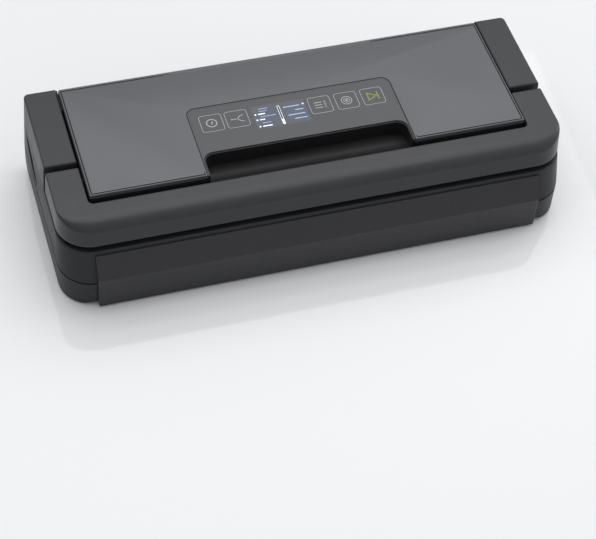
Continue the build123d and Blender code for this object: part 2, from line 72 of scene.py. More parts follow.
class Graph:
    """Short-hand for adding and joining nodes in one tree."""

    def __init__(self, tree):
        self.tree = tree

    def add(self, kind, **settings):
        node = self.tree.nodes.new(kind)
        for name, value in settings.items():
            setattr(node, name, value)
        return node

    def join(self, source, target):
        self.tree.links.new(source, target)

    def place(self):
        return self.add("ShaderNodeTexCoord").outputs["Object"]

    def split(self, vector):
        node = self.add("ShaderNodeSeparateXYZ")
        self.join(vector, node.inputs[0])
        return node.outputs

    def scaled(self, vector, factor):
        node = self.add("ShaderNodeVectorMath", operation="SCALE")
        self.join(vector, node.inputs[0])
        self.join(factor, node.inputs["Scale"])
        return node.outputs[0]

    def cells(self, vector, scale):
        node = self.add("ShaderNodeTexVoronoi")
        fill(node, {"Scale": scale})
        self.join(vector, node.inputs["Vector"])
        return node.outputs["Distance"]

    def math(self, operation, first, second=None, clamp=False):
        node = self.add("ShaderNodeMath", operation=operation, use_clamp=clamp)
        for socket, value in zip(node.inputs, (first, second)):
            if isinstance(value, (int, float)):
                socket.default_value = value
            elif value is not None:
                self.join(value, socket)
        return node.outputs[0]

    def times(self, first, second):
        return self.math("MULTIPLY", first, second)

    def noise(self, vector, scale, detail=3.0, roughness=0.5):
        node = self.add("ShaderNodeTexNoise")
        fill(node, {"Scale": scale, "Detail": detail, "Roughness": roughness})
        self.join(vector, node.inputs["Vector"])
        return node.outputs["Fac"]

    def spread(self, value, low, high, to_low=0.0, to_high=1.0):
        node = self.add("ShaderNodeMapRange", clamp=True)
        fill(node, {"From Min": low, "From Max": high, "To Min": to_low, "To Max": to_high})
        self.join(value, node.inputs["Value"])
        return node.outputs["Result"]

    def blend(self, factor, first, second):
        node = self.add("ShaderNodeMix", data_type="RGBA")
        for socket, value in ((node.inputs[0], factor), (node.inputs[6], first), (node.inputs[7], second)):
            if isinstance(value, (int, float, tuple)):
                socket.default_value = value
            else:
                self.join(value, socket)
        return node.outputs[2]


def new_group(name, inputs, outputs):
    """An empty shader group with float inputs (name, default) and float outputs."""
    tree = bpy.data.node_groups.new(name, "ShaderNodeTree")
    for label, default in inputs:
        socket = tree.interface.new_socket(label, in_out="INPUT", socket_type="NodeSocketFloat")
        socket.default_value = default
    for label in outputs:
        tree.interface.new_socket(label, in_out="OUTPUT", socket_type="NodeSocketFloat")
    graph = Graph(tree)
    return graph, graph.add("NodeGroupInput"), graph.add("NodeGroupOutput")


def make_grain_group():
    """Spark-eroded mould grain: two sizes of noise as a height, and a patchy gloss value."""
    graph, source, result = new_group(
        "Mould grain", [("Scale", 1.0), ("Coarse share", 0.4)], ["Height", "Patches"]
    )
    place = graph.place()
    scaled = graph.scaled(place, source.outputs["Scale"])
    fine = graph.noise(scaled, 2600, 2.0, 0.6)
    coarse = graph.noise(scaled, 900, 2.0, 0.5)
    mixed = graph.math("ADD", fine, graph.times(coarse, source.outputs["Coarse share"]))
    graph.join(mixed, result.inputs["Height"])
    graph.join(graph.noise(place, 22, 4.0, 0.6), result.inputs["Patches"])
    return graph.tree


def make_handling_group():
    """Marks of use: faint finger smudges, and dust that settles on faces that look up."""
    graph, source, result = new_group(
        "Handling marks", [("Smudge", 0.5), ("Dust", 0.5)], ["Smudge", "Dust"]
    )
    place = graph.place()
    blots = graph.spread(graph.noise(place, 38, 3.0, 0.55), 0.52, 0.68)
    streaks = graph.spread(graph.noise(place, 9, 2.0, 0.5), 0.42, 0.62)
    smudge = graph.times(graph.times(blots, streaks), source.outputs["Smudge"])
    graph.join(smudge, result.inputs["Smudge"])
    normal = graph.split(graph.add("ShaderNodeNewGeometry").outputs["Normal"])
    upward = graph.spread(normal["Z"], 0.35, 1.0)
    specks = graph.spread(graph.noise(place, 1400, 1.0, 0.4), 0.66, 0.74)
    film = graph.times(graph.noise(place, 60, 3.0, 0.6), 0.35)
    dust = graph.times(upward, graph.math("ADD", specks, film))
    graph.join(graph.times(dust, source.outputs["Dust"]), result.inputs["Dust"])
    return graph.tree


def make_brush_group():
    """Brushing or drawing lines along X, as a height and as a gloss value."""
    graph, source, result = new_group("Drawn lines", [("Scale", 1.0)], ["Height", "Lines"])
    stretch = graph.add("ShaderNodeMapping")
    stretch.inputs["Scale"].default_value = (18, 1500, 1500)
    graph.join(graph.scaled(graph.place(), source.outputs["Scale"]), stretch.inputs["Vector"])
    lines = graph.noise(stretch.outputs[0], 1.0, 2.0, 0.6)
    graph.join(lines, result.inputs["Height"])
    graph.join(graph.spread(lines, 0.35, 0.65), result.inputs["Lines"])
    return graph.tree


grain_group = make_grain_group()
handling_group = make_handling_group()
brush_group = make_brush_group()


def place_group(graph, tree, **values):
    node = graph.add("ShaderNodeGroup")
    node.node_tree = tree
    fill(node, {name.capitalize(): value for name, value in values.items()})
    return node


def start_material(name):
    material = bpy.data.materials.new(name)
    material.use_nodes = True
    graph = Graph(material.node_tree)
    shader = material.node_tree.nodes["Principled BSDF"]
    return material, graph, shader


def bump(graph, shader, height, depth):
    node = graph.add("ShaderNodeBump")
    fill(node, {"Distance": depth})
    graph.join(height, node.inputs["Height"])
    graph.join(node.outputs[0], shader.inputs["Normal"])


def moulded(name, colour, roughness, grain=1.0, depth=0.00003, smudge=0.4, dust=0.1, variety=0.10, shine=0.4):
    """Moulded plastic or rubber: mould grain, patchy gloss, smudges and settled dust."""
    material, graph, shader = start_material(name)
    mould = place_group(graph, grain_group, scale=grain)
    marks = place_group(graph, handling_group, smudge=smudge, dust=dust)
    dark = shade(colour, 1 - variety)
    light = shade(colour, 1 + variety)
    body = graph.blend(mould.outputs["Patches"], dark, light)
    dusty = graph.blend(graph.times(marks.outputs["Dust"], 0.22), body, tone(168, 166, 160))
    graph.join(dusty, shader.inputs["Base Color"])
    rough = graph.spread(mould.outputs["Patches"], 0.3, 0.7, roughness - 0.04, roughness + 0.04)
    rough = graph.math("SUBTRACT", rough, graph.times(marks.outputs["Smudge"], 0.16))
    rough = graph.math("ADD", rough, graph.times(marks.outputs["Dust"], 0.12), clamp=True)
    graph.join(rough, shader.inputs["Roughness"])
    shader.inputs["Specular IOR Level"].default_value = shine
    bump(graph, shader, mould.outputs["Height"], depth)
    return material


def coated(name, colour, roughness, flake=0.08):
    """Satin paint with a fine metallic fleck over a smooth sheet."""
    material, graph, shader = start_material(name)
    place = graph.place()
    marks = place_group(graph, handling_group, smudge=0.5, dust=0.2)
    shine = graph.spread(graph.cells(place, 5200), 0.0, 0.6, 1.0, 0.0)
    bright = shade(colour, 1 + 3 * flake)
    body = graph.blend(shine, colour, bright)
    slow = graph.noise(place, 6, 2.0, 0.5)
    shaded = shade(colour, 0.94)
    body = graph.blend(graph.times(slow, 0.35), body, shaded)
    body = graph.blend(graph.times(marks.outputs["Dust"], 0.15), body, tone(170, 170, 168))
    graph.join(body, shader.inputs["Base Color"])
    rough = graph.math("SUBTRACT", roughness, graph.times(marks.outputs["Smudge"], 0.10))
    graph.join(rough, shader.inputs["Roughness"])
    shader.inputs["Metallic"].default_value = 0.25
    bump(graph, shader, graph.noise(place, 1700, 2.0, 0.5), 0.000012)
    return material


def metal(name, colour, roughness, lines=True):
    """Drawn, rolled or plated metal."""
    material, graph, shader = start_material(name)
    brush = place_group(graph, brush_group)
    marks = place_group(graph, handling_group, smudge=0.6, dust=0.2)
    worn = shade(colour, 0.72)
    body = graph.blend(graph.times(brush.outputs["Lines"], 0.35), colour, worn)
    graph.join(body, shader.inputs["Base Color"])
    rough = graph.spread(brush.outputs["Lines"], 0.0, 1.0, roughness, roughness + 0.12)
    graph.join(graph.math("ADD", rough, graph.times(marks.outputs["Smudge"], 0.1)),
               shader.inputs["Roughness"])
    shader.inputs["Metallic"].default_value = 1.0
    if lines:
        bump(graph, shader, brush.outputs["Height"], 0.00001)
    return material


def foam(name, colour):
    """Closed-cell foam: small rounded cells, their pits dented by the bump and darkened with painted shade.
    """
    material, graph, shader = start_material(name)
    place = graph.place()
    pits = graph.spread(graph.cells(place, 1500), 0.1, 0.7)
    # painted shade: the colour darkens towards the bottom of each cell pit
    dark = shade(colour, 0.45)
    graph.join(graph.blend(pits, colour, dark), shader.inputs["Base Color"])
    rough = graph.spread(graph.noise(place, 120, 3.0, 0.6), 0.3, 0.7, 0.78, 0.92)
    graph.join(rough, shader.inputs["Roughness"])
    bump(graph, shader, graph.math("SUBTRACT", 1.0, pits), 0.00012)
    return material


def woven(name, colour, threads=1100):
    """Glass cloth coated for release: two crossing sets of threads."""
    material, graph, shader = start_material(name)
    position = graph.split(graph.place())
    along = graph.math("SINE", graph.times(position["X"], threads * math.tau))
    across = graph.math("SINE", graph.times(position["Y"], threads * math.tau))
    weave = graph.spread(graph.times(along, across), -1, 1)
    dark = shade(colour, 0.7)
    graph.join(graph.blend(weave, dark, colour), shader.inputs["Base Color"])
    graph.join(graph.spread(weave, 0, 1, 0.30, 0.45), shader.inputs["Roughness"])
    bump(graph, shader, weave, 0.00003)
    return material


def circuit(name, colour):
    """Solder resist over faint copper tracks."""
    material, graph, shader = start_material(name)
    place = graph.place()
    tracks = graph.add("ShaderNodeTexBrick")
    fill(tracks, {"Scale": 160, "Mortar Size": 0.06, "Color1": colour, "Color2": shade(colour, 0.8),
                  "Mortar": shade(colour, 1.8)})
    graph.join(place, tracks.inputs["Vector"])
    graph.join(tracks.outputs["Color"], shader.inputs["Base Color"])
    graph.join(graph.spread(graph.noise(place, 90), 0.3, 0.7, 0.25, 0.4), shader.inputs["Roughness"])
    bump(graph, shader, tracks.outputs["Fac"], 0.00003)
    return material


def printed(name, colour, glow=0.0):
    """Screen-printed ink. Glow makes it a lit display mark; on the start key's plain ink the glow is painted
    light.
    """
    material, graph, shader = start_material(name)
    place = graph.place()
    pores = graph.spread(graph.noise(place, 4000, 1.0), 0.3, 0.7)
    thin = shade(colour, 0.86)
    ink = graph.blend(pores, thin, colour)
    graph.join(ink, shader.inputs["Base Color"])
    graph.join(graph.spread(pores, 0, 1, 0.42, 0.55), shader.inputs["Roughness"])
    # glow: emitted light, real on the lit display marks, a painted glow on the start key's ink
    if glow:
        graph.join(ink, shader.inputs["Emission Color"])
        shader.inputs["Emission Strength"].default_value = glow
    return material


# ------------------------------------------------------------------ mesh helpers
def grid_faces(rows, columns, close_rows=False, close_columns=False):
    """Quads of a grid whose point (i, j) is number i * columns + j, wrapped where a way is closed."""
    i = np.arange(rows if close_rows else rows - 1)[:, None]
    j = np.arange(columns if close_columns else columns - 1)[None, :]
    next_i, next_j = (i + 1) % rows, (j + 1) % columns
    corners = (i * columns + j, next_i * columns + j, next_i * columns + next_j, i * columns + next_j)
    return np.stack(corners, axis=-1).reshape(-1, 4).tolist()


def make_piece(name, points, faces, material, body, slot, sharp=35, replaces=()):
    """A named mesh object from points in metres, riding on a body."""
    mesh = bpy.data.meshes.new(name)
    mesh.from_pydata(np.asarray(points, float).reshape(-1, 3).tolist(), [], faces)
    mesh.update()
    mesh.shade_smooth()
    mesh.set_sharp_from_angle(angle=math.radians(sharp))
    mesh.materials.append(material)
    piece = bpy.data.objects.new(name, mesh)
    bpy.context.scene.collection.objects.link(piece)
    if replaces:
        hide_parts(*replaces)
    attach(piece, body)
    return piece


class Heap:
    """Gathers several closed forms into one mesh."""

    def __init__(self):
        self.points, self.faces, self.count = [], [], 0

    def put(self, points, faces):
        points = np.asarray(points, float).reshape(-1, 3)
        self.faces += [[corner + self.count for corner in face] for face in faces]
        self.points.append(points)
        self.count += len(points)

    def piece(self, name, material, body, slot, **more):
        return make_piece(name, np.concatenate(self.points), self.faces, material, body, slot, **more)


def arc(centre_x, centre_y, radius, start, end, count):
    """Points on a circle about a centre, from one angle to another in degrees."""
    angle = np.radians(np.linspace(start, end, count))
    return np.stack([centre_x + radius * np.cos(angle), centre_y + radius * np.sin(angle)], axis=-1)


def rounded_loop(left, right, front, back, radius, count=9):
    """A rectangle's outline with round corners, anticlockwise, starting on its front edge."""
    return np.concatenate([
        arc(right - radius, front + radius, radius, 270, 360, count),
        arc(right - radius, back - radius, radius, 0, 90, count),
        arc(left + radius, back - radius, radius, 90, 180, count),
        arc(left + radius, front + radius, radius, 180, 270, count),
    ])


def unit(vectors):
    return vectors / np.maximum(np.linalg.norm(vectors, axis=1, keepdims=True), 1e-12)


def outward(path, closed=True):
    """Mitred unit offsets to the right of a path, which is outward on an anticlockwise loop."""
    if closed:
        before, after = path - np.roll(path, 1, 0), np.roll(path, -1, 0) - path
    else:
        step = np.diff(path, axis=0)
        before, after = np.vstack([step[:1], step]), np.vstack([step, step[-1:]])
    first, second = (unit(np.stack([step[:, 1], -step[:, 0]], -1)) for step in (before, after))
    middle = unit(first + second)
    return middle / np.maximum((middle * first).sum(1, keepdims=True), 0.35)


def ribbon(heap, path, width, low, high, closed=False):
    """A flat bar laid along a plan path: its four edges are the path moved half a width to each side,
    at the low and the high height."""
    path = np.asarray(path, float)
    side = outward(path, closed) * width / 2
    edges = [(path + side, low), (path + side, high), (path - side, high), (path - side, low)]
    ring = np.stack([np.column_stack([plan, np.full(len(plan), height)]) for plan, height in edges], axis=1)
    faces = grid_faces(len(path), 4, close_rows=closed, close_columns=True)
    if not closed:
        last = (len(path) - 1) * 4
        faces += [[0, 1, 2, 3], [last + 3, last + 2, last + 1, last]]
    heap.put(ring * MM, faces)


def slab(heap, outline, low, high):
    """A plan outline, anticlockwise, raised from low to high."""
    outline = np.asarray(outline, float)
    count = len(outline)
    floor = np.column_stack([outline, np.full(count, low)])
    roof = np.column_stack([outline, np.full(count, high)])
    faces = [[i, (i + 1) % count, count + (i + 1) % count, count + i] for i in range(count)]
    faces += [list(range(count - 1, -1, -1)), list(range(count, 2 * count))]
    heap.put(np.vstack([floor, roof]) * MM, faces)


def turned(heap, profile, centre, axis="z", count=40, wobble=None):
    """A profile of (radius, height) pairs turned about an axis; wobble(radius, angle) lowers the surface."""
    profile = np.asarray(profile, float)
    angle = np.linspace(0, math.tau, count, endpoint=False)
    radius = np.repeat(profile[:, :1], count, 1)
    height = np.repeat(profile[:, 1:], count, 1)
    turn = np.broadcast_to(angle, radius.shape)
    if wobble is not None:
        height = height - wobble(radius, turn)
    across, along = radius * np.cos(turn), radius * np.sin(turn)
    order = {"z": (across, along, height), "-z": (across, -along, -height), "x": (height, across, along),
             "y": (along, height, across), "-y": (along, -height, -across)}[axis]
    points = (np.stack(order, -1) + np.asarray(centre, float)).reshape(-1, 3)
    last = (len(profile) - 1) * count
    faces = grid_faces(len(profile), count, close_columns=True)
    faces += [list(range(count))[::-1], list(range(last, last + count))]
    heap.put(points * MM, faces)


def block(heap, left, right, front, back, low, high):
    slab(heap, [(left, front), (right, front), (right, back), (left, back)], low, high)


def carried(heap, path, profile):
    """A closed profile of (out, up) pairs carried round a closed plan path at its mitred offsets."""
    plan = path[:, None, :] + outward(path)[:, None, :] * profile[None, :, :1]
    ring = np.concatenate([plan, np.broadcast_to(profile[None, :, 1:], plan.shape[:2] + (1,))], axis=-1)
    faces = grid_faces(len(path), len(profile), close_rows=True, close_columns=True)
    heap.put(ring * MM, [face[::-1] for face in faces])


def millimetres(node):
    low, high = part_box(node)
    return np.array(low) / MM, np.array(high) / MM


def smoothstep(value):
    value = np.clip(value, 0, 1)
    return value * value * (3 - 2 * value)


# ------------------------------------------------------------------ finishes
casing_plastic = moulded("casing plastic", tone(42, 43, 46), 0.46, dust=0.05, shine=0.3)
cover_plastic = moulded("rear cover plastic", tone(54, 55, 58), 0.44, dust=0.06, shine=0.35)
handle_plastic = moulded("handle plastic", tone(46, 47, 50), 0.36, smudge=0.6, dust=0.05, shine=0.45)
lid_coat = coated("lid coat", tone(92, 93, 97), 0.42)
panel_plastic = moulded("panel plastic", tone(78, 79, 82), 0.34, grain=1.4, depth=0.00001, dust=0.05)
recess_plastic = moulded("finger recess plastic", tone(30, 30, 32), 0.4, dust=0.03, shine=0.4)
ledge_plastic = moulded("bag ledge plastic", tone(32, 32, 35), 0.26, depth=0.00002, dust=0.03, shine=0.5)
inner_plastic = moulded("inner plastic", tone(40, 41, 43), 0.5)
tray_plastic = moulded("drip tray plastic", tone(52, 53, 56), 0.34, smudge=0.7)
seal_foam = foam("seal foam", tone(40, 40, 42))
pad_silicone = moulded("pressure pad silicone", tone(60, 60, 62), 0.62, depth=0.00001)
foot_rubber = moulded("foot rubber", tone(30, 30, 31), 0.78, grain=0.7)
release_fabric = woven("release cloth", tone(126, 92, 58))
heater_alloy = metal("heating wire alloy", tone(170, 168, 160), 0.3)
bar_alloy = metal("sealing bar alloy", tone(178, 179, 182), 0.35)
plated_steel = metal("plated steel", tone(188, 188, 186), 0.26)
dark_steel = metal("blackened steel", tone(58, 58, 60), 0.45, lines=False)
motor_steel = metal("motor can steel", tone(170, 172, 170), 0.32)
board_green = circuit("board resist", tone(26, 84, 52))
tape_yellow = moulded("transformer tape", tone(196, 160, 44), 0.4, depth=0.00001, dust=0.4)
hose_silicone = moulded("hose silicone", tone(214, 214, 206), 0.35, depth=0.00001)
module_plastic = moulded("display module plastic", tone(212, 214, 214), 0.5)
copper_foil = metal("sensing copper", tone(196, 122, 84), 0.34, lines=False)
key_ink = printed("key outline ink", tone(176, 178, 180))
# painted glow: the start key's printed green ink is given a faint emission
start_ink_painted_glow = printed("start key ink with painted glow", tone(124, 140, 62), glow=0.15)
lit_white = printed("lit display white", tone(236, 240, 248), glow=0.8)
lit_blue = printed("lit display bars", tone(172, 190, 220), glow=0.35)
# painted shade: a near-black finish for the dark fills in gaps and grooves
seam_shade = moulded("painted gap shade", tone(24, 24, 25), 0.7, depth=0.00001, dust=0.0)


def display_glass():
    """Dark window behind a glossy coat, lit blue in two soft fields that fade out towards its edges."""
    material, graph, shader = start_material("display window")
    place = graph.place()
    position = graph.split(place)
    fields = []
    for centre, reach in ((-0.023, 0.012), (0.001, 0.012)):
        across = graph.math("DIVIDE", graph.math("SUBTRACT", position["X"], centre), reach)
        back = graph.math("DIVIDE", graph.math("SUBTRACT", position["Y"], 0.0115), 0.0125)
        square = graph.math("ADD", graph.times(across, across), graph.times(back, back))
        fields.append(graph.spread(square, 0.2, 1.5, 1.0, 0.0))
    mottled = graph.spread(graph.noise(place, 260, 2.0), 0.3, 0.7, 0.55, 1.0)
    share = graph.times(graph.math("ADD", fields[0], fields[1], clamp=True), mottled)
    field = graph.blend(share, tone(66, 67, 70), tone(50, 58, 76))
    graph.join(field, shader.inputs["Base Color"])
    graph.join(graph.blend(share, (0.0, 0.0, 0.0, 1.0), tone(72, 98, 156)), shader.inputs["Emission Color"])
    graph.join(graph.spread(graph.noise(place, 30), 0.3, 0.7, 0.22, 0.32), shader.inputs["Roughness"])
    fill(shader, {"Emission Strength": 0.16, "Coat Weight": 0.3, "Coat Roughness": 0.1})
    return material


display_blue = display_glass()

node_finish = (
    (casing_plastic, "lower_casing upper_casing chamber_deck casing_screw_posts lid_frame"),
    (inner_plastic, "side_grip_cups vacuum_chamber pump_housing pump_head release_valve lid_switch "
        "lid_inner_cover lid_screw_posts"),
    (ledge_plastic, "bag_ledge"),
    (cover_plastic, "left_rear_cover right_rear_cover"),
    (plated_steel, "hinge_pins casing_screws pump_bracket latch_catches pump_crank lid_screws latch_hooks"),
    (foot_rubber, "rubber_feet cord_gland"),
    (tray_plastic, "drip_tray"),
    (seal_foam, "lower_seal upper_seal"),
    (bar_alloy, "sealing_bar"),
    (heater_alloy, "heating_wire"),
    (release_fabric, "release_tape"),
    (motor_steel, "pump_motor"),
    (hose_silicone, "air_hose"),
    (board_green, "power_board main_board control_board"),
    (tape_yellow, "transformer"),
    (module_plastic, "switch_plunger display_module"),
    (pad_silicone, "pressure_strip"),
    (lid_coat, "lid_plate"),
    (panel_plastic, "control_panel"),
    (display_blue, "display_window"),
    (copper_foil, "key_sensor_rings"),
    (recess_plastic, "finger_recess"),
    (dark_steel, "handle_pivot_pins"),
    (handle_plastic, "locking_handle"),
)


def soft_shading():
    """Modifier tree: joins loose triangles and shades every edge flatter than 18 degrees smoothly."""
    tree = bpy.data.node_groups.new("Smooth faces", "GeometryNodeTree")
    tree.interface.new_socket("Geometry", in_out="INPUT", socket_type="NodeSocketGeometry")
    tree.interface.new_socket("Geometry", in_out="OUTPUT", socket_type="NodeSocketGeometry")
    graph = Graph(tree)
    source, result = graph.add("NodeGroupInput"), graph.add("NodeGroupOutput")
    merge = graph.add("GeometryNodeMergeByDistance")
    merge.inputs["Distance"].default_value = 1e-6
    angle = graph.add("GeometryNodeInputMeshEdgeAngle")
    flat = graph.add("FunctionNodeCompare", data_type="FLOAT", operation="LESS_THAN")
    flat.inputs[1].default_value = math.radians(18)
    edges = graph.add("GeometryNodeSetShadeSmooth", domain="EDGE")
    sides = graph.add("GeometryNodeSetShadeSmooth", domain="FACE")
    graph.join(source.outputs[0], merge.inputs["Geometry"])
    graph.join(merge.outputs["Geometry"], sides.inputs["Geometry"])
    graph.join(sides.outputs["Geometry"], edges.inputs["Geometry"])
    graph.join(angle.outputs["Unsigned Angle"], flat.inputs[0])
    graph.join(flat.outputs["Result"], edges.inputs["Shade Smooth"])
    graph.join(edges.outputs["Geometry"], result.inputs[0])
    return tree


smooth_faces = soft_shading()
for finish, names in node_finish:
    for name in names.split():
        node = nodes[name]
        node.data.materials.clear()
        node.data.materials.append(finish)
        node.modifiers.new("smooth faces", "NODES").node_group = smooth_faces


# ------------------------------------------------------------------ locking handle
def handle_outlines():
    """Plan of the U at its bottom: the outer edge, the inner edge and, at the same points, how much of
    the broad front shoulder there is, from 0 on the arms to 1 on the crossbar."""
    low, high = millimetres("locking_handle")
    back = high[1]
    part = np.linspace(0, 1, 30)[:-1]

    def edge(half, front, corner):
        """One edge of the U, from the rear end of the left arm round to that of the right arm."""
        arm = np.column_stack([np.full(29, -half), back + (front + corner - back) * part])
        turn = arc(-half + corner, front + corner, corner, 180, 270, 26)[:-1]
        bar = np.column_stack([np.linspace(-half + corner, half - corner, 60)[:-1], np.full(59, front)])
        right = np.concatenate([arm, turn, [[-half + corner, front]]]) * (-1, 1)
        return np.concatenate([arm, turn, bar, right[::-1]])

    shoulder = np.concatenate([np.zeros(29), smoothstep(np.linspace(0.05, 1.05, 25)), np.ones(59)])
    share = np.concatenate([shoulder, [1.0], shoulder[:54][::-1]])
    return edge(high[0] - 0.02, low[1], front_corner), edge(172.5, -42.4, 4.0), share


def make_handle():
    """Shell of the locking handle. At each point of the U, the section runs from the outer edge to the
    inner one: up a wall that leans in by 0.9 mm on the arms and 2.1 mm on the crossbar, over a quarter
    ellipse of a by b, flat across the top, round the inner edge, down the inner wall, and back through a
    cavity 3 mm inside. a and b grow from 1.3 mm on the arms to 13.5 and 9 mm on the crossbar."""
    low, high = millimetres("locking_handle")
    bottom, top, back = low[2], high[2], high[1]
    outer, inner, share = handle_outlines()
    gap = inner - outer
    width = np.linalg.norm(gap, axis=1)
    inward = gap / width[:, None]
    lean = 0.9 + 1.2 * share
    reach = 1.3 + 12.2 * share
    rise = 1.3 + 7.7 * share
    bar_lip_bottom = 66.0
    inner_low = bottom + (bar_lip_bottom - bottom) * smoothstep((share - 0.1) / 0.8)
    quarter = np.linspace(0, math.pi / 2, 9)
    small, inner_edge, thick = 0.6, 0.8, 3.0
    rows = []

    def put(across, height):
        rows.append(np.column_stack([across + 0 * width, height + 0 * width]))

    for angle in quarter[::4]:
        put(small * (1 - math.sin(angle)), bottom + small * (1 - math.cos(angle)))
    for part in np.linspace(0.1, 0.95, 6):
        put(lean * part, bottom + small + (top - rise - bottom - small) * part)
    for angle in np.linspace(0, math.pi / 2, 17):
        put(lean + reach * (1 - math.cos(angle)), top - rise + rise * math.sin(angle))
    for part in (0.15, 0.5, 0.85):
        start = lean + reach
        put(start + (width - inner_edge - start) * part, top)
    for angle in quarter[::2]:
        put(width - inner_edge + inner_edge * math.sin(angle), top - inner_edge * (1 - math.cos(angle)))
    for part in (0.3, 0.6):
        put(width, top - inner_edge + (inner_low + 0.4 - top + inner_edge) * part)
    put(width, inner_low + 0.3)
    put(width - 0.3, inner_low)
    outside = len(rows)
    hollow_reach, hollow_rise = np.maximum(reach - thick, 0.5), np.maximum(rise - thick, 0.5)
    hollow_start, hollow_top = lean + thick, top - thick
    put(width - thick, inner_low)
    put(width - thick, hollow_top - 0.4)
    put(width - thick - 0.4, hollow_top)
    for angle in quarter[::-1]:
        put(hollow_start + hollow_reach * (1 - math.cos(angle)),
            hollow_top - hollow_rise * (1 - math.sin(angle)))
    put(thick, bottom)
    section = np.stack(rows, axis=1)
    solid = section.copy()
    solid[:, outside:, 1] = inner_low[:, None]
    solid[:, -1, 1] = bottom

    def ring(index, section, y, shrink):
        """One section of an arm at a given Y, drawn in towards its middle by shrink."""
        across, height = section[index, :, 0].copy(), section[index, :, 1].copy()
        middle = (across.min() + across.max()) / 2
        across = middle + (across - middle) * (1 - 2 * shrink / width[index])
        centre = (bottom + top) / 2
        height = centre + (height - centre) * (1 - 2 * shrink / (top - bottom))
        plan = outer[index][None, :] + inward[index][None, :] * across[:, None]
        return np.column_stack([plan[:, 0], np.full(len(across), y), height])

    plan = outer[:, None, :] + inward[:, None, :] * section[:, :, :1]
    body = np.concatenate([plan, section[:, :, 1:]], axis=-1)
    keep = outer[:, 1] < back - thick - 0.2
    body = body[keep]
    ends = []
    for index in (0, len(outer) - 1):
        wall_y = back - thick
        ends.append([ring(index, section, wall_y, 0), ring(index, solid, wall_y, 0)]
                    + [ring(index, solid, back - 1.2 + 1.2 * math.sin(a), 1.2 * (1 - math.cos(a)))
                       for a in np.linspace(0, math.pi / 2, 7)])
    stack = np.concatenate([np.stack(ends[0][::-1]), body, np.stack(ends[1])])
    count = stack.shape[1]
    faces = [face[::-1] for face in grid_faces(len(stack), count, close_columns=True)]
    last = (len(stack) - 1) * count
    faces += [list(range(count)), list(range(last + count - 1, last - 1, -1))]
    return make_piece("handle_shell", stack.reshape(-1, 3) * MM, faces, handle_plastic, "handle",
                      "cover_plastic", sharp=40, replaces=("locking_handle",))


make_handle()


